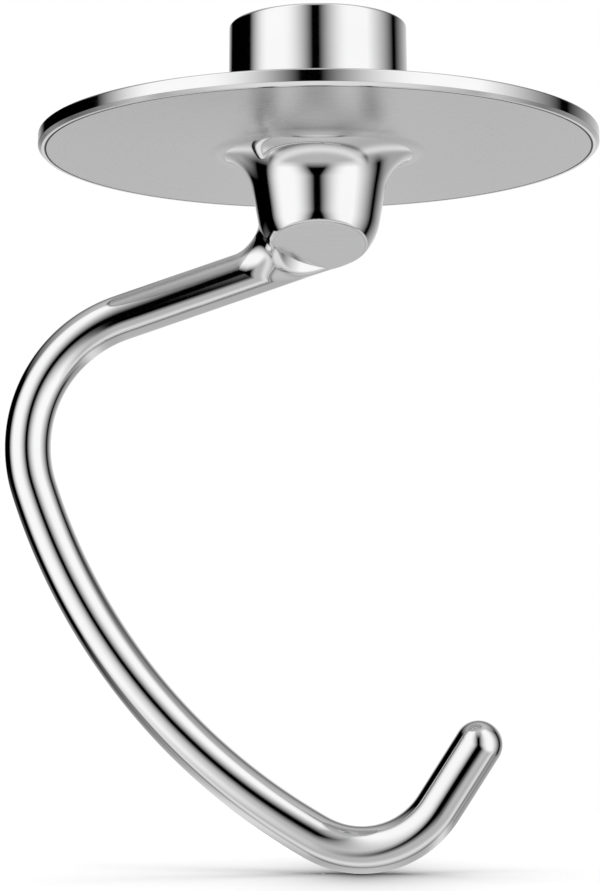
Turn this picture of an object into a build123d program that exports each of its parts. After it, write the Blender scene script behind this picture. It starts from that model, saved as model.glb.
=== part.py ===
"""C-shaped dough hook for a stand mixer: one polished stainless casting.

The origin is the centre of the socket's mouth on the collar's top face. +Z points up along the
socket. The hook hangs below, bulging towards -X, and the foot facet faces -Y. Lengths are
millimetres and angles are degrees.
"""

from build123d import *

import math
import os

# Socket for the mixer's shaft, entered from above and locked by a part turn
shaft_diameter = 12.7
shaft_clearance = 0.1
socket_depth = 30.0
cross_pin_diameter = 4.76
cross_pin_clearance = 0.22
cross_pin_reach = 9.2
pocket_top = 11.0
pocket_turn = 52.0

# Collar above the dough shield
collar_diameter = 30.2
collar_height = 19.4
collar_draft = 0.6
collar_bevel = 0.4
collar_root_bevel = 1.2

# Round dough shield
shield_diameter = 95.0
shield_thickness = 2.6
shield_top_bevel = 0.3
shield_under_bevel = 0.55
groove_margin = 0.5
groove_width = 0.36
groove_depth = 0.2

# Trumpet stem under the shield
flare_diameter = 37.6
flare_radius = 7.6
stem_taper = 10.0
stem_length = 20.6

# Slanted foot facet on the front of the stem's end, cut by a round cutter beside the arm
facet_pitch = 19.5
facet_drop = 16.35
facet_forward = 2.2
facet_cutter_margin = 1.5
facet_cutter_side = 4.2
facet_cutter_lead = 4.0
facet_wall = 25.0

# Round rod of the hook: arm, shoulder bend, long back, heel bend and tip
rod_diameter = 7.8
arm_drop = 15.5
arm_setback = 6.0
arm_inset = 1.0
arm_slope = 18.9
arm_length = 36.0
arm_fillet = 5.5
shoulder_radius = 23.4
shoulder_turn = 88.8
back_radius = 102.3
back_turn = 43.6
heel_radius = 15.5
heel_turn = 85.5
tip_length = 12.4
tail_swing = 12.0

# Levels and radii that follow from the sizes above
shield_top = -collar_height
shield_under = shield_top - shield_thickness
collar_radius = collar_diameter / 2
collar_root_radius = collar_radius + collar_height * math.tan(math.radians(collar_draft))
shield_radius = shield_diameter / 2
rod_radius = rod_diameter / 2
socket_radius = shaft_diameter / 2 + shaft_clearance
pin_slot = cross_pin_diameter + cross_pin_clearance * 2
pocket_radius = cross_pin_reach + cross_pin_clearance
stem_end = shield_under - stem_length
groove_radius = shield_radius - shield_under_bevel - groove_margin - groove_width / 2

# The flare is tangent to the shield's underside and to the tapered stem, which ends in a ball
taper = math.radians(stem_taper)
flare_edge = flare_diameter / 2
neck_radius = flare_edge - flare_radius * math.cos(taper)
neck_level = shield_under - flare_radius + flare_radius * math.sin(taper)
neck_offset = neck_radius * math.cos(taper) - (neck_level - stem_end) * math.sin(taper)
ball_radius = neck_offset / (1 - math.sin(taper))
ball_edge = ball_radius * math.cos(taper)
ball_edge_level = stem_end + ball_radius - ball_radius * math.sin(taper)

# Path of the rod: the arm and the shoulder lie in a plane behind the stem's axis, and the tail
# swings forward
slope = math.radians(arm_slope)
arm_start = (arm_inset, shield_under - arm_drop + arm_inset * math.tan(slope))
with BuildLine(Plane.XZ.offset(-arm_setback)) as shoulder_path:
    arm = PolarLine(arm_start, arm_length + arm_inset / math.cos(slope), 180 + arm_slope)
    shoulder = JernArc(arm @ 1, arm % 1, shoulder_radius, shoulder_turn)

arm_normal = Vector(0, -1, 0)
tail_normal = arm_normal.rotate(Axis((0, 0, 0), shoulder % 1), tail_swing)
tail_plane = Plane(origin=shoulder @ 1, x_dir=shoulder % 1, z_dir=tail_normal)
with BuildLine(tail_plane) as tail_path:
    back = JernArc(shoulder @ 1, shoulder % 1, back_radius, back_turn)
    heel = JernArc(back @ 1, back % 1, heel_radius, heel_turn)
    tip = Line(heel @ 1, heel @ 1 + (heel % 1) * tip_length)

arm_wire = shoulder_path.wire()
tail_wire = tail_path.wire()
tail_inside = tail_normal.cross(tail_wire % 0)

# The foot facet leans forward, and its cutter runs on past the stem's end
facet_normal = Vector(0, 0, -1).rotate(Axis.X, -facet_pitch)
facet_centre = Vector(0, -facet_forward, shield_under - facet_drop)
facet_plane = Plane(origin=facet_centre, x_dir=(1, 0, 0), z_dir=facet_normal)
facet_reach = stem_length
facet_cutter_radius = ball_radius + facet_cutter_margin

with BuildPart() as dough_hook:
    # Collar, shield and stem are one turned body
    with BuildSketch(Plane.XZ):
        with BuildLine():
            top_edge = Line((0, 0), (collar_radius, 0))
            side = Line(top_edge @ 1, (collar_root_radius, shield_top))
            upper_face = Line(side @ 1, (shield_radius, shield_top))
            rim = Line(upper_face @ 1, (shield_radius, shield_under))
            lip = Line(rim @ 1, (groove_radius + groove_width / 2, shield_under))
            groove_outer = Line(lip @ 1, (groove_radius, shield_under + groove_depth))
            groove_inner = Line(groove_outer @ 1, (groove_radius - groove_width / 2, shield_under))
            under_face = Line(groove_inner @ 1, (flare_edge, shield_under))
            flare = JernArc(under_face @ 1, (-1, 0), flare_radius, 90 - stem_taper)
            stem_side = Line(flare @ 1, (ball_edge, ball_edge_level))
            ball_end = JernArc(stem_side @ 1, stem_side % 1, ball_radius, stem_taper - 90)
            Line(ball_end @ 1, top_edge @ 0)
        make_face()
        chamfer(vertices().sort_by_distance(side @ 0)[0], collar_bevel)
        chamfer(vertices().sort_by_distance(side @ 1)[0], collar_root_bevel)
        chamfer(vertices().sort_by_distance(rim @ 0)[0], shield_top_bevel)
        chamfer(vertices().sort_by_distance(rim @ 1)[0], shield_under_bevel)
    revolve(axis=Axis.Z)

    # The rod runs from the stem's end to its tip, and both of its ends are domed. The tail has a
    # front and a back half, which meet along the inside and the outside of its bends, and the
    # faces are kept as drawn from here on, so the halves stay apart
    with BuildSketch(Plane(origin=arm_wire @ 0, z_dir=arm_wire % 0)):
        Circle(rod_radius)
    sweep(path=arm_wire)
    with BuildSketch(Plane(origin=tail_wire @ 0, x_dir=tail_inside, z_dir=tail_wire % 0)):
        with BuildLine():
            CenterArc((0, 0), rod_radius, 0, 180)
            CenterArc((0, 0), rod_radius, 180, 180)
        make_face()
    sweep(path=tail_wire, clean=False)
    for end, outward, normal in (
        (arm_wire @ 0, arm_wire % 0 * -1, arm_normal),
        (tail_wire @ 1, tail_wire % 1, tail_normal),
    ):
        with BuildSketch(Plane(origin=end, x_dir=outward, z_dir=normal)):
            Circle(rod_radius)
            Rectangle(rod_radius, rod_radius, align=Align.MIN, mode=Mode.INTERSECT)
        revolve(axis=Axis(end, outward), clean=False)

    # The arm's root blends into the stem
    arm_root = edges().filter_by(GeomType.BSPLINE)
    fillet(arm_root, arm_fillet)

    # The foot facet is cut flat, and the cutter's sloping wall leaves a ridge beside the arm
    with BuildSketch(facet_plane):
        with Locations((facet_cutter_side, facet_cutter_lead)):
            Circle(facet_cutter_radius)
    extrude(amount=facet_reach, taper=-facet_wall, mode=Mode.SUBTRACT, clean=False)

    # Socket with its keyway and the pocket that the cross pin turns into
    with BuildSketch(Plane.XY):
        Circle(socket_radius)
    extrude(amount=-socket_depth, mode=Mode.SUBTRACT, clean=False)
    with BuildSketch(Plane.XY):
        with Locations((pocket_radius / 2, 0)):
            Rectangle(pocket_radius, pin_slot)
    extrude(amount=-pocket_top - pin_slot, mode=Mode.SUBTRACT, clean=False)
    with BuildSketch(Plane.XZ):
        with Locations((pocket_radius / 2, -pocket_top - pin_slot / 2)):
            Rectangle(pocket_radius, pin_slot)
    revolve(axis=Axis.Z, revolution_arc=pocket_turn, mode=Mode.SUBTRACT, clean=False)

dough_hook.part.label = "dough_hook"
os.makedirs("parts", exist_ok=True)
export_step(dough_hook.part, "parts/dough_hook.step")
print(dough_hook.part.bounding_box())
print("volume", dough_hook.part.volume, "valid", dough_hook.part.is_valid)
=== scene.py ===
# %% [markdown]
# # A polished dough hook in a small white studio
#
# The hook is one stainless casting: a collar with the shaft socket, a round dough shield, a trumpet
# stem and a bent rod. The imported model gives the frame. Its mesh is made of flat triangles, which a
# mirror finish would show at once, so the hook is drawn again here as smooth surfaces on the same
# sizes, with the true normal of the metal at every corner of its outside.

import math

import bpy
import numpy as np
from mathutils import Matrix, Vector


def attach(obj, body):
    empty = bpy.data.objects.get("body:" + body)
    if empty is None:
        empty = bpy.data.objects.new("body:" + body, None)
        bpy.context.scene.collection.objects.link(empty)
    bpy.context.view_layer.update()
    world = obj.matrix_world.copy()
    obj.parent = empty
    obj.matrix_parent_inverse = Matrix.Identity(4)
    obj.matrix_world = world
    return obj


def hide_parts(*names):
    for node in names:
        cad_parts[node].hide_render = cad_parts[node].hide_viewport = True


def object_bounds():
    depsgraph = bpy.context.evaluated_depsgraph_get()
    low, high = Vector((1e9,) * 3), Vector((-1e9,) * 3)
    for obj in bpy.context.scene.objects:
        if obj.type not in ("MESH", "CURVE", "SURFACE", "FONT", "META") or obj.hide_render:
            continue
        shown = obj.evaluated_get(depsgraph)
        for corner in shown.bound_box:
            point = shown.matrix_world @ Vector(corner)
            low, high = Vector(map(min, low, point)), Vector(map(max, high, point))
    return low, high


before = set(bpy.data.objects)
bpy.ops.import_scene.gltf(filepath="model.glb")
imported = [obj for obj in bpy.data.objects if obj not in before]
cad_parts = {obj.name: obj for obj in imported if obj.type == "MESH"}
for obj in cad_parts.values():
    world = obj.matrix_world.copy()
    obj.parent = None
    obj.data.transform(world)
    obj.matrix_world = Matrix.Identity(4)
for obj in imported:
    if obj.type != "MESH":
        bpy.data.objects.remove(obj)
cad_low, cad_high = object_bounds()
MM = 0.001


def in_mm(corner):
    """A corner of a box in millimetres, rounded for printing."""
    return [round(value / MM, 2) for value in corner]


print("CAD box in mm:", in_mm(cad_low), in_mm(cad_high))


# %% [markdown]
# ## Helpers for every surface
#
# Each piece is a grid: rows run along a profile or a path and columns run round it. One helper turns
# such a grid into a mesh and hands Blender the exact normals, because a mirror shows the difference
# between an exact normal and one that is averaged from neighbouring faces.

# %% Grid helpers
COLUMNS = 320
TINY = 1e-6


def unit(vectors):
    """Vectors scaled to length one along the last axis."""
    return vectors / np.linalg.norm(vectors, axis=-1, keepdims=True)


def grid_faces(rows, columns):
    """Quads between neighbouring rows of a grid that closes on itself round the columns."""
    row, column = np.meshgrid(np.arange(rows - 1), np.arange(columns), indexing="ij")
    after = (column + 1) % columns
    corners = (row * columns + column, row * columns + after,
               (row + 1) * columns + after, (row + 1) * columns + column)
    return np.stack(corners, -1).reshape(-1, 4)


def pole_faces(rows, columns):
    """Triangles from a grid's last row to one more point, which closes the grid like a pole."""
    column = np.arange(columns)
    last = (rows - 1) * columns
    pole = np.full(columns, rows * columns)
    return np.stack([last + column, last + (column + 1) % columns, pole], 1)


def add_piece(name, points, faces, normals=None, materials=(), face_material=None, pole_triangles=None):
    """A piece of the hook: a smooth mesh that rides on the one body.

    Points are in millimetres and faces are quads. A grid that ends in a pole brings the pole's
    triangles too. Where they are given, there is one exact normal for each point, and one number for
    each face that says which of the materials it has.
    """
    mesh = bpy.data.meshes.new(name)
    triangles = [] if pole_triangles is None else pole_triangles.tolist()
    mesh.from_pydata((points.reshape(-1, 3) * MM).tolist(), [], faces.tolist() + triangles)
    for material in materials:
        mesh.materials.append(material)
    if face_material is not None:
        mesh.polygons.foreach_set("material_index", face_material.astype(np.int32))
    mesh.polygons.foreach_set("use_smooth", np.ones(len(mesh.polygons), bool))
    mesh.update()
    if normals is not None:
        mesh.normals_split_custom_set_from_vertices(normals.reshape(-1, 3).tolist())
    piece = bpy.data.objects.new(name, mesh)
    bpy.context.scene.collection.objects.link(piece)
    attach(piece, "root")
    print(name, "has", len(mesh.polygons), "faces")
    return piece


# %% [markdown]
# ## Finishes
#
# All of the hook is the same steel. The collar, rim, stem and rod are polished like a mirror, with a
# patchy shine and the faint waviness that a polished casting keeps. The shield's two faces were turned
# on a lathe and show fine rings. The foot facet was ground flat and is satin. The thin groove near the
# rim gets dark steel as painted shade in its bottom. A picture of steel could be wrapped round the
# hook instead, but noise patterns on Object coordinates need no unwrapping and have no seams.

# %% Node helpers
def new_material(name):
    """A metal material with its Principled shader and the Object coordinates of its piece."""
    material = bpy.data.materials.new(name)
    material.use_nodes = True
    nodes = material.node_tree.nodes
    shader = nodes["Principled BSDF"]
    shader.inputs["Metallic"].default_value = 1.0
    place = nodes.new("ShaderNodeTexCoord")
    return material, shader, place.outputs["Object"]


def wire(material, source, target):
    """A link from one node's output to another node's input."""
    material.node_tree.links.new(source, target)


def add_node(material, kind, links=None, **settings):
    """A node with inputs and settings given by name, and with links from other nodes."""
    node = material.node_tree.nodes.new(kind)
    for key, value in settings.items():
        if key in node.inputs:
            node.inputs[key].default_value = value
        else:
            setattr(node, key, value)
    for key, source in (links or {}).items():
        wire(material, source, node.inputs[key])
    return node


# %% Pattern helpers
def noise(material, place, scale, detail):
    """A cloudy pattern from 0 to 1, with its scale in clouds per metre."""
    clouds = add_node(material, "ShaderNodeTexNoise", {"Vector": place}, Scale=scale, Detail=detail)
    return clouds.outputs["Fac"]


def remap(material, share, low, high):
    """A share from 0 to 1 spread over a range."""
    node = add_node(material, "ShaderNodeMapRange", {"Value": share})
    node.inputs["To Min"].default_value = low
    node.inputs["To Max"].default_value = high
    return node.outputs["Result"]


def tint(material, shader, share, first, second):
    """The shader's colour, going from the first to the second as a share goes from 0 to 1."""
    mix = add_node(material, "ShaderNodeMix", {"Factor": share}, data_type="RGBA")
    mix.inputs["A"].default_value = (*first, 1)
    mix.inputs["B"].default_value = (*second, 1)
    wire(material, mix.outputs["Result"], shader.inputs["Base Color"])


def dent(material, shader, height, strength, depth):
    """Bump on the shader's normal from a height pattern, with its depth in metres."""
    bump = add_node(material, "ShaderNodeBump", {"Height": height}, Strength=strength, Distance=depth)
    wire(material, bump.outputs["Normal"], shader.inputs["Normal"])


def vector_step(material, operation, source, second=(0.0, 0.0, 0.0)):
    """One step of vector arithmetic between a source and a fixed second vector."""
    step = add_node(material, "ShaderNodeVectorMath", {0: source}, operation=operation)
    step.inputs[1].default_value = second
    return step


def axis_distance(material, place):
    """Distance from the shaft's axis: the length of a place whose height is set to zero."""
    flat = vector_step(material, "MULTIPLY", place, (1.0, 1.0, 0.0))
    return vector_step(material, "LENGTH", flat.outputs["Vector"]).outputs["Value"]


# %% Mirror-polished steel
def polished_steel():
    """Bright steel with a patchy polish and a faint waviness left from the casting."""
    material, shader, place = new_material("polished_steel")
    patches = noise(material, place, scale=90.0, detail=3.0)
    tint(material, shader, patches, (0.780, 0.780, 0.785), (0.840, 0.840, 0.840))
    grain = noise(material, place, scale=900.0, detail=4.0)
    wire(material, remap(material, grain, 0.035, 0.085), shader.inputs["Roughness"])
    waves = noise(material, place, scale=160.0, detail=1.0)
    dent(material, shader, waves, strength=0.05, depth=0.0002)
    return material


polished = polished_steel()
print("made", polished.name)


# %% Turned satin steel
def turned_steel():
    """Satin steel with fine lathe rings: a noise of the distance from the shaft's axis alone."""
    material, shader, place = new_material("turned_satin_steel")
    lathe = add_node(material, "ShaderNodeTexNoise", {"W": axis_distance(material, place)},
                     noise_dimensions="1D", Scale=5200.0, Detail=4.0)
    rings = lathe.outputs["Fac"]
    tint(material, shader, rings, (0.70, 0.70, 0.705), (0.80, 0.80, 0.80))
    wire(material, remap(material, rings, 0.24, 0.34), shader.inputs["Roughness"])
    dent(material, shader, rings, strength=0.08, depth=0.0001)
    return material


turned = turned_steel()
print("made", turned.name)


# %% Ground satin steel
def ground_steel():
    """Satin steel with straight grinding lines: a noise that is stretched sideways."""
    material, shader, place = new_material("ground_satin_steel")
    stretch = add_node(material, "ShaderNodeMapping", {"Vector": place})
    stretch.inputs["Scale"].default_value = (0.05, 1.0, 1.0)
    lines = noise(material, stretch.outputs["Vector"], scale=2600.0, detail=4.0)
    tint(material, shader, lines, (0.74, 0.74, 0.745), (0.82, 0.82, 0.82))
    wire(material, remap(material, lines, 0.16, 0.26), shader.inputs["Roughness"])
    dent(material, shader, lines, strength=0.06, depth=0.0001)
    return material


ground = ground_steel()
print("made", ground.name)


# %% Groove steel with painted shade
def groove_shade_steel():
    """Dark steel with fine specks, as painted shade in the bottom of the turned groove."""
    material, shader, place = new_material("groove_painted_shade")
    specks = noise(material, place, scale=700.0, detail=3.0)
    # Painted shade: the steel in the groove is made dark, from 0.10 to 0.26
    tint(material, shader, specks, (0.10, 0.10, 0.10), (0.26, 0.26, 0.26))
    shader.inputs["Roughness"].default_value = 0.45
    return material


groove_shade_paint = groove_shade_steel()
print("made", groove_shade_paint.name)


# %% [markdown]
# ## Collar, shield and stem
#
# These were turned on a lathe, so one profile spun about the shaft's axis makes them all. The profile
# is a chain of corners, each with its own rounding. The trumpet flare under the shield is only a
# corner with a very large rounding. Small roundings on the edges catch the light as thin bright lines.
# A Bevel modifier could round the edges too, but it wouldn't know the exact normals.

# %% Sizes of the turned body, in millimetres
collar_radius, collar_height, collar_draft = 15.1, 19.4, math.radians(0.6)
shield_radius, shield_thickness, shield_bevel = 47.5, 2.6, 0.55
groove_margin, groove_width, groove_depth = 0.5, 0.36, 0.2
flare_edge, flare_radius, stem_taper = 18.8, 7.6, math.radians(10.0)
top_inset = 11.5

shield_top = -collar_height
shield_under = shield_top - shield_thickness
collar_foot = collar_radius + collar_height * math.tan(collar_draft)
neck_radius = flare_edge - flare_radius * math.cos(stem_taper)
neck_level = shield_under - flare_radius * (1 - math.sin(stem_taper))
flare_corner = neck_radius + (shield_under - neck_level) * math.tan(stem_taper)
groove_radius = shield_radius - shield_bevel - groove_margin - groove_width / 2
print("neck radius", round(neck_radius, 2), "at level", round(neck_level, 2))


# %% Profile with rounded corners
def rounded_profile(corners, roundings, steps):
    """Points and outward normals along a chain of corners in the plane of radius and height.

    At each inner corner the two runs meet in an arc: its centre lies on the corner's bisector, and
    the arc's normals turn evenly from the first run's normal to the second's. A point that falls on
    the one before it is dropped.
    """
    corners = np.asarray(corners, float)
    along = unit(np.diff(corners, axis=0))
    outward = np.stack([-along[:, 1], along[:, 0]], 1)
    points, normals = [corners[:1]], [outward[:1]]
    for k, size in enumerate(roundings, start=1):
        before, after = along[k - 1], along[k]
        turn = math.atan2(before[0] * after[1] - before[1] * after[0], before @ after)
        reach = size * math.tan(abs(turn) / 2)
        sweep = np.linspace(0, turn, steps)
        start = corners[k] - before * reach
        side = outward[k - 1] * -math.copysign(1, turn)
        centre = start - side * size
        spoke = np.stack([side[0] * np.cos(sweep) - side[1] * np.sin(sweep),
                          side[0] * np.sin(sweep) + side[1] * np.cos(sweep)], 1)
        points.append(centre + spoke * size)
        normals.append(spoke * -math.copysign(1, turn))
    points = np.concatenate(points + [corners[-1:]])
    normals = np.concatenate(normals + [outward[-1:]])
    apart = np.r_[True, np.linalg.norm(np.diff(points, axis=0), axis=1) > TINY]
    return points[apart], normals[apart]


# %% Profile of collar, shield and stem
collar_edge, collar_fillet, rim_edge, bevel_edge, groove_edge = 0.5, 1.3, 0.35, 0.12, 0.05
ARC_STEPS = 16

corners_and_roundings = [
    ((collar_radius, 0), collar_edge),
    ((collar_foot, shield_top), collar_fillet),
    ((shield_radius, shield_top), rim_edge),
    ((shield_radius, shield_under + shield_bevel), bevel_edge),
    ((shield_radius - shield_bevel, shield_under), bevel_edge),
    ((groove_radius + groove_width / 2, shield_under), groove_edge),
    ((groove_radius, shield_under + groove_depth), groove_edge),
    ((groove_radius - groove_width / 2, shield_under), groove_edge),
    ((flare_corner, shield_under), flare_radius),
]
inner_corners, roundings = zip(*corners_and_roundings)
turned_corners = [(top_inset, 0), *inner_corners, (neck_radius, neck_level)]
profile, profile_normals = rounded_profile(turned_corners, roundings, ARC_STEPS)
print("profile has", len(profile), "points")


# %% Finish of each row
level_slack, satin_into_flare = 0.02, 2.5
# The groove's rows get dark steel that paints the shade in the groove
POLISHED, TURNED, GROOVE_SHADE = 0, 1, 2

row_radius, row_level = (profile[:-1] + np.diff(profile, axis=0) / 2).T
on_top = (np.abs(row_level - shield_top) < level_slack) & (row_radius > collar_foot)
under_shield = (row_level < shield_under + level_slack) & (row_radius < groove_radius)
on_underside = under_shield & (row_radius > flare_edge - satin_into_flare)
above_underside = row_level - shield_under
groove_level = (above_underside > level_slack) & (above_underside < groove_depth)
in_groove = groove_level & (np.abs(row_radius - groove_radius) < groove_width / 2)
row_finish = np.select([in_groove, on_top | on_underside], [GROOVE_SHADE, TURNED], POLISHED)
print("rows polished, turned and dull:", np.bincount(row_finish))


# %% Spin the profile
def spin(pairs, angles):
    """Each pair (r, z) goes round the shaft's axis: (r cos a, r sin a, z)."""
    radius = pairs[:, :1]
    height = np.broadcast_to(pairs[:, 1:], (len(pairs), len(angles)))
    return np.stack([radius * np.cos(angles), radius * np.sin(angles), height], 2)


angles = np.arange(COLUMNS) * 2 * np.pi / COLUMNS
turned_points, turned_normals = spin(profile, angles), spin(profile_normals, angles)
turned_faces = grid_faces(len(profile), COLUMNS)[:, ::-1]
shield = add_piece("collar_shield_stem", turned_points, turned_faces, turned_normals,
                   (polished, turned, groove_shade_paint), np.repeat(row_finish, COLUMNS))
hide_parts("dough_hook")


# %% [markdown]
# ## Shaft socket
#
# The mixer's shaft enters the collar from above, its cross pin slides down a keyway, and a part turn
# carries the pin into a pocket. Seen from the axis, the wall is one distance for each angle and depth,
# so the whole socket is a surface of two parameters. Boolean cuts would do as well, but they would
# spoil the collar's even grid. Columns near a corner of the keyway or the pocket are moved onto it.
# The first ring is the collar's innermost one, so the two meet without a gap.

# %% Socket wall
socket_radius, socket_depth = 6.45, 30.0
pin_slot, pocket_radius, pocket_top, pocket_turn = 5.2, 9.42, 11.0, math.radians(52.0)
pocket_floor = -pocket_top - pin_slot


def keyway_reach(angle):
    """Distance from the axis to the keyway's straight walls, seen under an angle from +X."""
    side = pin_slot / 2 / np.maximum(np.abs(np.sin(angle)), TINY)
    end = pocket_radius / np.maximum(np.cos(angle), TINY)
    return np.where(np.cos(angle) > 0, np.minimum(side, end), 0.0)


def socket_wall(angle, level):
    """The farthest of bore, keyway and pin pocket at each angle and level."""
    keyway = np.where(level > pocket_floor, keyway_reach(angle), 0.0)
    in_pocket = (level < -pocket_top) & (level > pocket_floor) & (angle > 0) & (angle < pocket_turn)
    return np.where(in_pocket, pocket_radius, np.maximum(socket_radius, keyway))


# %% Columns and rings of the socket
HAIR = 1e-4
sharp_corner = math.radians(25.0)

slot_corner = math.asin(pin_slot / 2 / socket_radius)
slot_end = math.atan2(pin_slot / 2, pocket_radius)
pocket_ends = [pocket_turn - HAIR, pocket_turn + HAIR]
keyway_marks = np.array([0, slot_end, slot_corner, 2 * np.pi - slot_corner, 2 * np.pi - slot_end])
pocket_column = round(pocket_turn / angles[1])
socket_angles = angles.copy()
socket_angles[np.round(keyway_marks / angles[1]).astype(int)] = keyway_marks
socket_angles[pocket_column:pocket_column + 2] = pocket_ends

levels = np.array([0, -pocket_top + HAIR, -pocket_top - HAIR,
                   pocket_floor + HAIR, pocket_floor - HAIR, -socket_depth])
angle_grid, level_grid = np.meshgrid(socket_angles, levels)
wall = socket_wall(angle_grid, level_grid)
wall_points = np.stack([wall * np.cos(angle_grid), wall * np.sin(angle_grid), level_grid], 2)
socket_rings = np.concatenate([turned_points[:1], wall_points])
socket_points = np.concatenate([socket_rings.reshape(-1, 3), [[0, 0, -socket_depth]]])
socket = add_piece("shaft_socket", socket_points, grid_faces(len(socket_rings), COLUMNS),
                   materials=(polished,), pole_triangles=pole_faces(len(socket_rings), COLUMNS))
socket.data.set_sharp_from_angle(angle=sharp_corner)


# %% [markdown]
# ## Arm root and foot facet
#
# The rod's arm leaves the stem's ball end a little behind the axis, and a rounded blend joins them.
# In front, a slanted facet is ground flat up to a rounded ridge beside the arm. Meshes joined by a
# Boolean would leave a hard seam here. Distances can be blended instead: each plain shape is a function
# that says how far away it is, and the surface is where the blended distance is zero. Seen from a point
# inside the arm, every ray leaves the metal once, so that place can be solved ray by ray.

# %% Sizes of the root, in millimetres
stem_length, root_blend, facet_ridge, facet_edge = 20.6, 5.5, 1.1, 0.3
rod_radius, arm_setback, arm_inset, arm_drop = 3.9, 6.0, 1.0, 15.5
arm_slope = math.radians(18.9)
facet_pitch, facet_drop, facet_forward = math.radians(19.5), 16.35, 2.2
cutter_margin, cutter_side, cutter_lead, cutter_wall = 1.5, 4.2, 4.0, math.radians(25.0)

stem_end = shield_under - stem_length
neck_offset = neck_radius * math.cos(stem_taper) - (neck_level - stem_end) * math.sin(stem_taper)
ball_radius = neck_offset / (1 - math.sin(stem_taper))
ball_level = stem_end + ball_radius
cutter_radius = ball_radius + cutter_margin
arm_way = np.array([-math.cos(arm_slope), 0, -math.sin(arm_slope)])
arm_start_level = shield_under - arm_drop + arm_inset * math.tan(arm_slope)
arm_start = np.array([arm_inset, arm_setback, arm_start_level])
facet_normal = np.array([0, -math.sin(facet_pitch), -math.cos(facet_pitch)])
facet_up = np.array([0, -math.cos(facet_pitch), math.sin(facet_pitch)])
facet_centre = np.array([0, -facet_forward, shield_under - facet_drop])
print("ball radius", round(ball_radius, 2), "at level", round(ball_level, 2))


# %% Distances to the plain shapes
SLOPE_STEP = 1e-4


def stem_distance(p):
    """Distance to the ball-ended cone: to its slanted side above the ball's rim, to the ball below."""
    r = np.hypot(p[..., 0], p[..., 1])
    h = p[..., 2] - ball_level
    side = r * math.cos(stem_taper) - h * math.sin(stem_taper) - ball_radius
    ball = np.hypot(r, h) - ball_radius
    return np.where(r * math.sin(stem_taper) + h * math.cos(stem_taper) > 0, side, ball)


def arm_distance(p):
    """Distance to the round arm with its domed end: distance to its centre line less its radius."""
    along = np.maximum((p - arm_start) @ arm_way, 0)
    return np.linalg.norm(p - arm_start - along[..., None] * arm_way, axis=-1) - rod_radius


def slope_of(distance, p, step=SLOPE_STEP):
    """The direction in which a distance grows fastest, from differences along the three axes."""
    shifts = np.eye(3) * step
    return unit(np.stack([distance(p + s) - distance(p - s) for s in shifts], -1))


# %% Blend and facet
NEARLY_PARALLEL = 0.95


def blended(p):
    """Stem and arm joined by a rolling ball: between both contact lines the ball's own surface counts.

    With a and b as the two distances and c as the cosine between their slopes, the ball's centre lies
    at x = s A + t B from the point, where s = ((R-a) - c (R-b)) / (1-c^2) and t likewise, and the
    blend is R less the length of x. Where s or t is negative only the nearer shape counts.
    """
    a, b = stem_distance(p), arm_distance(p)
    c = (slope_of(stem_distance, p) * slope_of(arm_distance, p)).sum(-1)
    c = np.clip(c, -NEARLY_PARALLEL, NEARLY_PARALLEL)
    u, v = root_blend - a, root_blend - b
    s, t = (u - c * v) / (1 - c * c), (v - c * u) / (1 - c * c)
    size = np.sqrt(np.maximum(s * u + t * v, 0))
    return np.where((s > 0) & (t > 0), root_blend - size, np.minimum(a, b))


def rounded_max(a, b, size):
    """The larger of two distances, with the outer corner between them rounded to a radius."""
    u, v = np.maximum(a + size, 0), np.maximum(b + size, 0)
    return np.minimum(np.maximum(a, b), -size) + np.hypot(u, v)


def root_distance(p):
    """The blended root less the facet's cutter, whose wall leans outwards as it goes down."""
    q = p - facet_centre
    depth = q @ facet_normal
    away = np.hypot(q[..., 0] - cutter_side, q @ facet_up - cutter_lead)
    wall = (cutter_radius + depth * math.tan(cutter_wall) - away) * math.cos(cutter_wall)
    body = blended(p)
    kept_flat = rounded_max(body, depth, facet_edge)
    kept_wall = rounded_max(body, wall, facet_ridge)
    return np.minimum(kept_flat, kept_wall)


# %% Rays from inside the arm
eye_along, rod_spot = 3.2, 0.16
ROOT_ROWS = 280


def to_plane(d):
    """Stereographic picture of a direction: straight down is 0 and straight up is infinitely far."""
    return (d[..., 0] + 1j * d[..., 1]) / (1 - d[..., 2])


def to_sphere(w):
    """The direction that a point of that picture stands for."""
    m = np.abs(w) ** 2
    return np.stack([2 * w.real, 2 * w.imag, m - 1], -1) / (m + 1)[..., None]


# In that picture the rays fan out from a small spot round the rod to the ring where the neck begins
root_eye = arm_start + arm_way * eye_along
neck_ring = turned_points[-1]
ring_picture = to_plane(unit(neck_ring - root_eye))
arm_picture = to_plane(arm_way)
ring_way = ring_picture - arm_picture
ray_share = np.linspace(0, 1, ROOT_ROWS)[:, None]
spread = rod_spot ** (1 - ray_share) * np.abs(ring_way) ** ray_share
rays = to_sphere(arm_picture + spread * ring_way / np.abs(ring_way))
print("rays", rays.shape[0], "by", rays.shape[1])


# %% Where the rays leave the metal
RAY_REACH, RAY_MARKS, HALVINGS = 32.0, 180, 26


def first_exit(origin, rays, distance):
    """Along each ray, the first sign change of the distance, narrowed by halving."""
    near = np.zeros(rays.shape[:2])
    found = np.zeros(rays.shape[:2], bool)
    far = np.full(rays.shape[:2], RAY_REACH)
    for mark in np.linspace(RAY_REACH / RAY_MARKS, RAY_REACH, RAY_MARKS):
        outside = distance(origin + rays * mark) > 0
        far = np.where(outside & ~found, mark, far)
        near = np.where(~found & ~outside, mark, near)
        found |= outside
    for _ in range(HALVINGS):
        half = (near + far) / 2
        outside = distance(origin + rays * half[..., None]) > 0
        near, far = np.where(outside, near, half), np.where(outside, half, far)
    return (near + far) / 2


root_length = first_exit(root_eye, rays, root_distance)
print("rays leave the metal after", root_length.min().round(2), "to", root_length.max().round(2), "mm")


# %% Root piece with its ground facet
normal_step, facet_slack = 2e-3, 0.01

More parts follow.
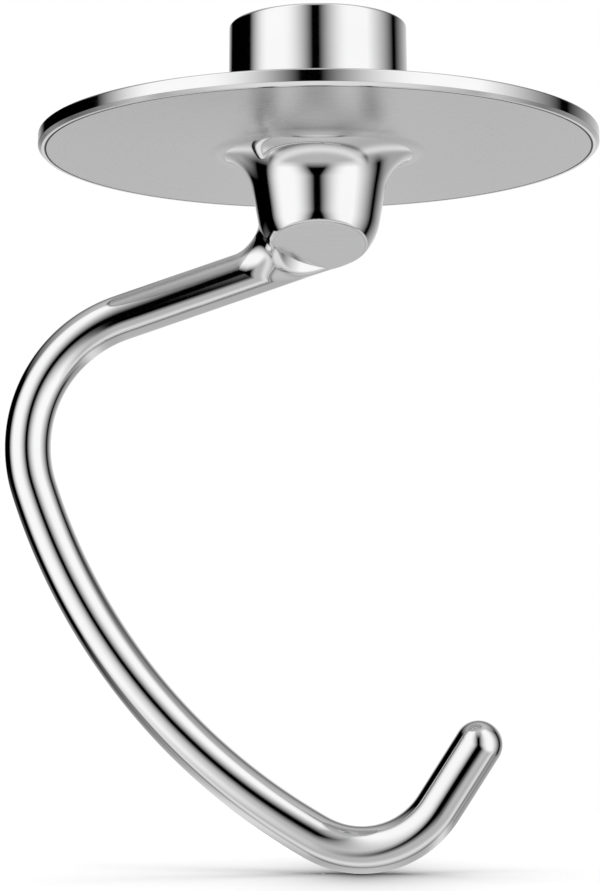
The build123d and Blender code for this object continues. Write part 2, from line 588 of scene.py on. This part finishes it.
root_points = root_eye + rays * root_length[..., None]
root_points[-1] = neck_ring
root_normals = slope_of(root_distance, root_points, normal_step)
root_normals[-1] = turned_normals[-1]
root_faces = grid_faces(ROOT_ROWS, COLUMNS)
on_facet = np.abs((root_points - facet_centre) @ facet_normal).reshape(-1) < facet_slack
facet_face = on_facet[root_faces].all(1)
add_piece("arm_root", root_points, root_faces, root_normals, (polished, ground), facet_face)


# %% [markdown]
# ## Rod
#
# From the root on, the rod is one round bar: straight arm, shoulder bend, long shallow back, tight
# heel bend and a straight tip with a domed end. A curve with a bevel could draw it, but a circle that
# is carried along the path by formula gives the exact normals. The first ring is the root's first one,
# so the two surfaces meet without a gap.

# %% Path of the rod
arm_length, shoulder_radius, shoulder_turn = 36.0, 23.4, math.radians(88.8)
back_radius, back_turn = 102.3, math.radians(43.6)
heel_radius, heel_turn, tip_length = 15.5, math.radians(85.5), 12.4
tail_swing = math.radians(12.0)
RING_STEP, TIP_RINGS = 0.85, 18


def bend(point, along, normal, radius, turn):
    """Centres and directions along a circular bend that turns about a normal."""
    count = int(radius * turn / RING_STEP)
    inward = np.cross(normal, along)
    angle = np.linspace(0, turn, count + 1)[1:, None]
    centres = point + radius * (along * np.sin(angle) + inward * (1 - np.cos(angle)))
    return centres, along * np.cos(angle) + inward * np.sin(angle)


def turned_about(vector, axis, angle):
    """A vector turned about a unit axis by an angle."""
    return (vector * math.cos(angle) + np.cross(axis, vector) * math.sin(angle)
            + axis * (axis @ vector) * (1 - math.cos(angle)))


arm_end = arm_start + arm_way * (arm_length + arm_inset / math.cos(arm_slope))
arm_normal = np.array([0, -1.0, 0])
shoulder, shoulder_way = bend(arm_end, arm_way, arm_normal, shoulder_radius, shoulder_turn)
tail_normal = turned_about(arm_normal, shoulder_way[-1], tail_swing)
back, back_way = bend(shoulder[-1], shoulder_way[-1], tail_normal, back_radius, back_turn)
heel, heel_way = bend(back[-1], back_way[-1], tail_normal, heel_radius, heel_turn)
tip_way = heel_way[-1]
tip = heel[-1] + tip_way * np.linspace(0, tip_length, TIP_RINGS)[1:, None]
print("rings on shoulder, back, heel and tip:", len(shoulder), len(back), len(heel), len(tip))


# %% Rings along the arm
ARM_RINGS = 24

# The root's first ring isn't level with the arm, so each column starts at its own place along it
first_ring = root_points[0] - arm_start
first_along = first_ring @ arm_way
first_spoke = unit(first_ring - first_along[:, None] * arm_way)
arm_phase = np.arctan2(first_spoke @ np.cross(arm_way, arm_normal), first_spoke @ arm_normal)
arm_full = (arm_end - arm_start) @ arm_way
arm_share = np.linspace(0, 1, ARM_RINGS)[:, None]
arm_along = first_along * (1 - arm_share) + arm_full * arm_share
arm_points = arm_start + arm_along[..., None] * arm_way + first_spoke * rod_radius
arm_points[0] = root_points[0]
arm_spokes = np.broadcast_to(first_spoke, arm_points.shape)
print("arm starts", first_along.min().round(2), "to", first_along.max().round(2), "mm along")


# %% Rings along the bends, the tip and its dome
DOME_RINGS = 24


def rings(centres, ways, normal, phase):
    """Circles round the path: normal cos(phase) + binormal sin(phase), scaled to the rod's radius."""
    binormal = np.cross(ways, normal)[:, None]
    spokes = normal * np.cos(phase)[None, :, None] + binormal * np.sin(phase)[None, :, None]
    return centres[:, None] + spokes * rod_radius, spokes


tail_phase = arm_phase - tail_swing
shoulder_points, shoulder_spokes = rings(shoulder, shoulder_way, arm_normal, arm_phase)
back_points, back_spokes = rings(back, back_way, tail_normal, tail_phase)
heel_points, heel_spokes = rings(heel, heel_way, tail_normal, tail_phase)
tip_points, tip_spokes = rings(tip, np.broadcast_to(tip_way, tip.shape), tail_normal, tail_phase)
dome_angle = np.linspace(0, np.pi / 2, DOME_RINGS)[1:-1, None, None]
dome_spokes = tip_spokes[-1] * np.cos(dome_angle) + tip_way * np.sin(dome_angle)
dome_points = tip[-1] + dome_spokes * rod_radius
tip_end = tip[-1] + tip_way * rod_radius
print("tip ends at", tip_end.round(2))


# %% Rod piece
rod_points = np.concatenate(
    [arm_points, shoulder_points, back_points, heel_points, tip_points, dome_points])
rod_spokes = np.concatenate(
    [arm_spokes, shoulder_spokes, back_spokes, heel_spokes, tip_spokes, dome_spokes])
rod_faces = grid_faces(len(rod_points), COLUMNS)[:, ::-1]
rod_pole = pole_faces(len(rod_points), COLUMNS)[:, ::-1]
add_piece("hook_rod", np.concatenate([rod_points.reshape(-1, 3), [tip_end]]), rod_faces,
          np.concatenate([rod_spokes.reshape(-1, 3), [tip_way]]), (polished,), pole_triangles=rod_pole)


# %% [markdown]
# ## Table, lamp and white room
#
# The hook stands on the lowest point of its heel. A photographer would put it on a white table, so a
# plain pale disc is enough here. A very wide lamp above brings the table up to white and leaves a soft
# shadow. Such a wide lamp gives only a faint shadow right under the heel, so a painted shadow darkens
# the table's paint round that point, as a retoucher would deepen it. Metal has no diffuse light, so the
# lamp is kept out of the reflections and changes nothing on the hook. The room behind is a white world.

# %% Shape of the table
floor_level = cad_low[2] / MM
floor_reach, floor_solid, floor_fade_end = 300.0, 120.0, 294.0
floor_rings, floor_columns, innermost = 12, 96, 1e-3
# Size of the painted shadow round the heel's contact: its width across and its depth, in mm
painted_shadow_width, painted_shadow_depth = 7.0, 18.0
heel_spot = rod_points.reshape(-1, 3)[rod_points[..., 2].argmin()]


def flat_rings(reach, level, count, columns):
    """Rings of growing radius at one level: (r cos a, r sin a, level), with the innermost one tiny."""
    radius = np.linspace(innermost, 1, count)[:, None] * reach
    angle = np.arange(columns) * 2 * np.pi / columns
    height = np.full((count, columns), level)
    return np.stack([radius * np.cos(angle), radius * np.sin(angle), height], 2)


def add_stage(name, points, faces, paint):
    """A mesh that belongs to the studio and not to the hook."""
    mesh = bpy.data.meshes.new(name)
    mesh.from_pydata((points.reshape(-1, 3) * MM).tolist(), [], faces.tolist())
    mesh.materials.append(paint)
    thing = bpy.data.objects.new(name, mesh)
    bpy.context.scene.collection.objects.link(thing)
    return thing


# %% Paint of the table
def pale_table():
    """Matt white paint, with a painted shadow at the heel's contact, that thins out towards the table's
    edge.

    The painted shadow falls off as exp(-d), where d is the distance from the contact in widths and
    depths.
    At the edge the white room shows through.
    """
    paint, shader, place = new_material("pale_table")
    shader.inputs["Metallic"].default_value = 0.0
    shader.inputs["Roughness"].default_value = 0.9
    shader.inputs["Specular IOR Level"].default_value = 0.0
    offset = vector_step(paint, "SUBTRACT", place, tuple(heel_spot * MM))
    shadow_patch = (painted_shadow_width * MM, painted_shadow_depth * MM, 1.0)
    shares = vector_step(paint, "DIVIDE", offset.outputs["Vector"], shadow_patch)
    apart = vector_step(paint, "LENGTH", shares.outputs["Vector"])
    # Painted shadow: its share exp(-d) darkens the table from 0.85 to 0.03 at the heel's contact
    dark = add_node(paint, "ShaderNodeMath", {1: apart.outputs["Value"]}, operation="POWER")
    dark.inputs[0].default_value = math.exp(-1)
    tint(paint, shader, dark.outputs["Value"], (0.85, 0.85, 0.85), (0.03, 0.03, 0.03))
    fade = add_node(paint, "ShaderNodeMapRange", {"Value": axis_distance(paint, place)},
                    interpolation_type="SMOOTHSTEP")
    fade.inputs["From Min"].default_value = floor_solid * MM
    fade.inputs["From Max"].default_value = floor_fade_end * MM
    fade.inputs["To Min"].default_value = 1.0
    fade.inputs["To Max"].default_value = 0.0
    wire(paint, fade.outputs["Result"], shader.inputs["Alpha"])
    return paint


floor_points = flat_rings(floor_reach, floor_level, floor_rings, floor_columns)
floor = add_stage("floor", floor_points, grid_faces(floor_rings, floor_columns), pale_table())
floor.visible_glossy = False
print("table at", round(floor_level, 2), "mm, heel stands at", heel_spot.round(2))


# %% Wide lamp
lamp_width, lamp_power, lamp_height = 2.0, 26.0, 0.62

lamp = bpy.data.lights.new("table_lamp", "AREA")
lamp.shape = "SQUARE"
lamp.size = lamp_width
lamp.energy = lamp_power
lamp_place = bpy.data.objects.new("table_lamp", lamp)
lamp_place.location = (0.0, 0.0, lamp_height)
lamp_place.visible_glossy = False
bpy.context.scene.collection.objects.link(lamp_place)
print("lamp", lamp.energy, "W")


# %% White room
def background_rays(tree):
    """One for the rays that see the background, and zero for the light that falls on things."""
    path = tree.nodes.new("ShaderNodeLightPath")
    seen = path.outputs["Is Camera Ray"]
    for name in ("Is Glossy Ray", "Is Transmission Ray"):
        either = tree.nodes.new("ShaderNodeMath")
        either.operation = "MAXIMUM"
        tree.links.new(seen, either.inputs[0])
        tree.links.new(path.outputs[name], either.inputs[1])
        seen = either.outputs["Value"]
    return seen


world = bpy.data.worlds.new("white_room")
bpy.context.scene.world = world
world.use_nodes = True
room = world.node_tree.nodes["Background"]
room.inputs["Color"].default_value = (1, 1, 1, 1)
world.node_tree.links.new(background_rays(world.node_tree), room.inputs["Strength"])
print("the room is white at strength 1 and leaves the light to the lamp and the dome")


# %% [markdown]
# ## Studio seen by the steel
#
# Polished steel shows its surroundings more than itself. The photographer had a large soft panel on
# each side, darkness between them where the camera stands, dark flags beside the panels, a paler wall
# far behind, a grey ceiling and a grey table below. Separate cards would do, but soft panels fade
# towards their edges, so one dome carries all of it: its glow is a formula of azimuth and elevation,
# kept as an attribute of the mesh. The camera itself doesn't see the dome.

# %% Ramps and bells
def ramp(x, dark, bright):
    """From 0 at the dark value to 1 at the bright one, along a line."""
    return np.clip((x - dark) / (bright - dark), 0, 1)


def soft_ramp(x, dark, bright):
    """The same ramp bent into a quarter of a sine, as a soft panel fades towards its edge."""
    return np.sin(np.pi / 2 * ramp(x, dark, bright))


def bell(x, middle, width):
    """A bump of height 1 about a middle: exp(-((x - middle) / width)^2)."""
    return np.exp(-((x - middle) / width) ** 2)


# %% Panels, wall and ceiling
# Each pair holds the dark and the bright end of a ramp, in degrees of azimuth or elevation
panel_strength, panel_fade = 1.16, (78, 58)
left_outside, left_inside = (-98, -66), (-7, -46)
right_outside, right_inside = (113, 66), (1, 42)
gap_widening, gap_fade = 13, (-5, -32)
wall_strength, wall_right, wall_left, wall_fade = 0.78, (118, 180), (-148, -180), (38, 12)
ceiling_strength, ceiling_fade = 0.62, (28, 70)


def panel_glow(azimuth, elevation):
    """Two soft panels from below the hook to high above it, by direction in degrees.

    Azimuth 0 is the camera's side and +90 is +X. The dark gap between the panels widens downwards.
    """
    gap = gap_widening * ramp(elevation, *gap_fade)
    left = soft_ramp(azimuth, *left_outside) * soft_ramp(azimuth + gap, *left_inside)
    right = soft_ramp(azimuth - gap, *right_inside) * ramp(azimuth, *right_outside)
    return panel_strength * (left + right) * soft_ramp(elevation, *panel_fade)


def wall_glow(azimuth, elevation):
    """A wall low behind the hook, brightest straight behind it."""
    behind = soft_ramp(azimuth, *wall_right) + soft_ramp(azimuth, *wall_left)
    return wall_strength * behind * soft_ramp(elevation, *wall_fade)


def ceiling_glow(elevation):
    """A middle grey that comes up high above the hook."""
    return ceiling_strength * soft_ramp(elevation, *ceiling_fade)


# %% Table in the reflections
# Each place is the middle and the width of a bell, in heights of the ray's start above the table
front_grey, front_pale, front_place = 0.55, 0.32, (-0.28, 0.2)
back_grey, back_pale, back_place = 0.43, 0.20, (0, 0.4)
beside_pale, beside_place = 0.40, (0.8, 0.2)
# A band of painted shade on the table right under the hook
under_hook_shade, under_hook_shade_place = 0.30, (0.08, 0.09)
front_to_back = (-0.16, 0.1)


def table_glow(azimuth, elevation):
    """The table as a ray that goes down meets it.

    The ray lands at a lean towards the back and a distance to the side, both in heights of its start:
    lean = -cos(azimuth) / tan(depression) and side = |sin(azimuth)| / tan(depression). The table is
    paler in front, straight behind and farther to the sides, with painted shade right under the hook.
    """
    reach = 1 / np.tan(np.radians(np.clip(-elevation, 1, 90)))
    lean = -np.cos(np.radians(azimuth)) * reach
    side = np.abs(np.sin(np.radians(azimuth))) * reach
    front = front_grey + front_pale * bell(lean, *front_place)
    back = back_grey + back_pale * bell(side, *back_place) + beside_pale * bell(side, *beside_place)
    # Painted shade: the table is darker where it lies right under the hook
    edge = under_hook_shade * bell(lean, *under_hook_shade_place)
    return front + (back - front) * ramp(lean, *front_to_back) - edge


# %% Whole studio
table_start, back_table_start, back_sides = (-25, -41), (0, -16), (120, 150)


def studio_glow(azimuth, elevation):
    """Panels, wall and ceiling, giving way to the table below. The table starts higher at the back."""
    above = panel_glow(azimuth, elevation) + wall_glow(azimuth, elevation)
    above = np.maximum(above, ceiling_glow(elevation))
    at_back = ramp(elevation, *back_table_start) * ramp(np.abs(azimuth), *back_sides)
    below = np.clip(ramp(elevation, *table_start) + at_back, 0, 1)
    return above + (table_glow(azimuth, elevation) - above) * below


# %% Dome
def glowing_paint(name):
    """A paint that gives off as much light as the mesh's glow attribute says."""
    paint = bpy.data.materials.new(name)
    paint.use_nodes = True
    nodes = paint.node_tree.nodes
    nodes.remove(nodes["Principled BSDF"])
    glow = add_node(paint, "ShaderNodeAttribute", attribute_name="glow")
    glower = add_node(paint, "ShaderNodeEmission", {"Strength": glow.outputs["Fac"]})
    wire(paint, glower.outputs["Emission"], nodes["Material Output"].inputs["Surface"])
    return paint


dome_radius, dome_level, dome_top = 1500.0, -70.0, 89.9
dome_rows, dome_columns = 181, 360

azimuth, elevation = np.meshgrid(np.linspace(-180, 180, dome_columns, endpoint=False),
                                 np.linspace(-dome_top, dome_top, dome_rows))
round_way, up_way = np.radians(azimuth), np.radians(elevation)
dome_ways = np.stack([np.sin(round_way) * np.cos(up_way), -np.cos(round_way) * np.cos(up_way),
                      np.sin(up_way)], 2)
sphere = dome_ways * dome_radius + [0, 0, dome_level]
glow = studio_glow(azimuth, elevation)
dome = add_stage("studio_dome", sphere, grid_faces(dome_rows, dome_columns), glowing_paint("studio_dome"))
values = dome.data.attributes.new("glow", "FLOAT", "POINT")
values.data.foreach_set("value", glow.reshape(-1).astype(np.float32))
dome.visible_camera = False
dome.visible_diffuse = False
dome.visible_shadow = False
print("dome glows from", glow.min().round(3), "to", glow.max().round(3))


# %% [markdown]
# ## Camera
#
# The camera looks slightly up from just above the table, as the photograph does. Its place and lens
# were found from the shield's and the collar's outlines. A Track To constraint could aim it, but three
# angles say the same and keep the small roll.

# %% Camera
eye = np.array([-1.2, -425.0, -117.1])
pitch, yaw, roll = math.radians(6.06), math.radians(-0.3), math.radians(0.32)
focal_pixels, picture_height, sensor = 2543.0, 891.0, 36.0
nearest, farthest = 0.01, 10.0

forward = np.array([math.sin(yaw) * math.cos(pitch), math.cos(yaw) * math.cos(pitch), math.sin(pitch)])
right = np.array([math.cos(yaw), -math.sin(yaw), 0])
upward = np.cross(right, forward)
rolled_right = right * math.cos(roll) - upward * math.sin(roll)
rolled_up = right * math.sin(roll) + upward * math.cos(roll)
lens = bpy.data.cameras.new("camera")
lens.sensor_fit = "VERTICAL"
lens.sensor_height = sensor
lens.lens = focal_pixels / picture_height * sensor
lens.clip_start, lens.clip_end = nearest, farthest
camera = bpy.data.objects.new("camera", lens)
bpy.context.scene.collection.objects.link(camera)
pose = np.eye(4)
pose[:3, :3] = np.stack([rolled_right, rolled_up, -forward], 1)
pose[:3, 3] = eye * MM
camera.matrix_world = Matrix(pose.tolist())
bpy.context.scene.camera = camera
bpy.context.scene.view_settings.view_transform = "Standard"
print("lens", round(lens.lens, 2), "mm")
